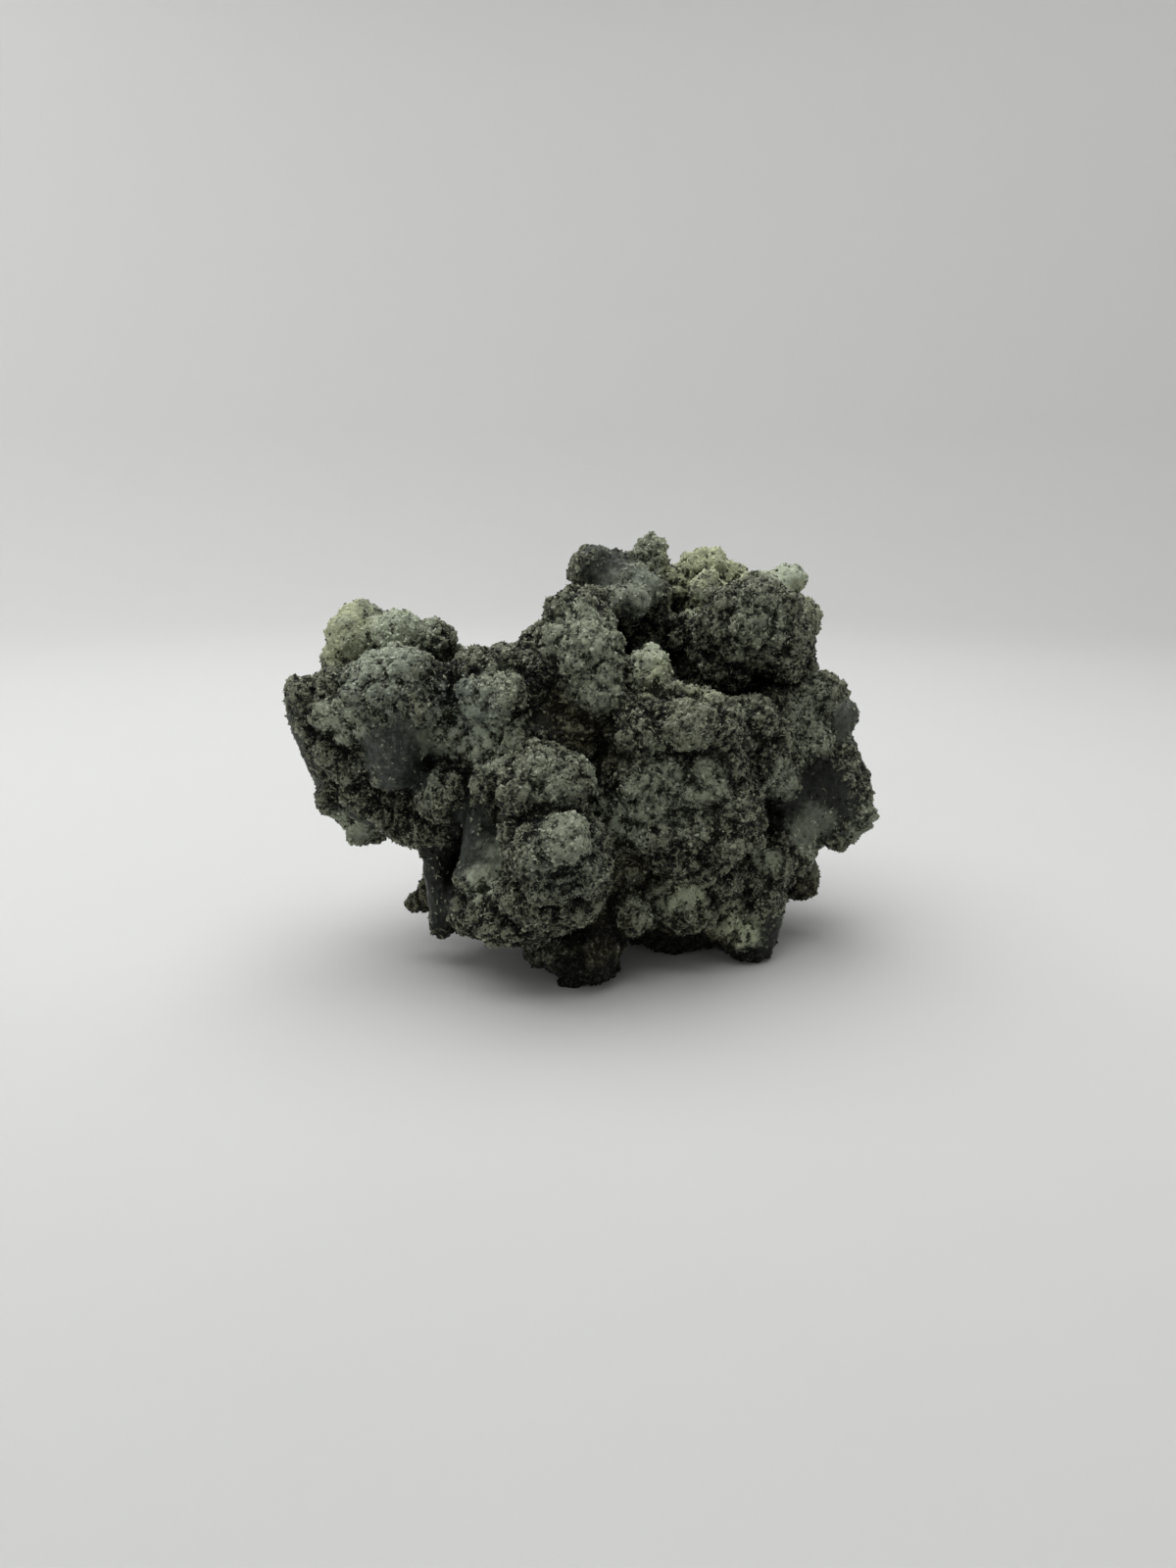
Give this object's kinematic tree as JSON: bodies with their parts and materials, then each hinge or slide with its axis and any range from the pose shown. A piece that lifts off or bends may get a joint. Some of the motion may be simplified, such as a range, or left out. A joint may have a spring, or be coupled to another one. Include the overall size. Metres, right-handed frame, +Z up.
{
  "type": "mineral specimen",
  "caption": "Rough prehnite specimen: grey-green knobs and short fingers grown into one open, craggy mass that rests on its own feet.",
  "frame": {"origin": "on the surface it rests on, under the middle of its bounding box", "axes": "+X along its longest side, from the thin wing to the heavy end; +Z up; seen from -Y in its picture"},
  "size_m": [0.0826, 0.0562, 0.0559],
  "materials": {
    "grey_green_prehnite": "rough crystal crust, grey-green with paler green tips"
  },
  "bodies": {
    "root": {"prehnite": "grey_green_prehnite"}
  },
  "joints": []
}
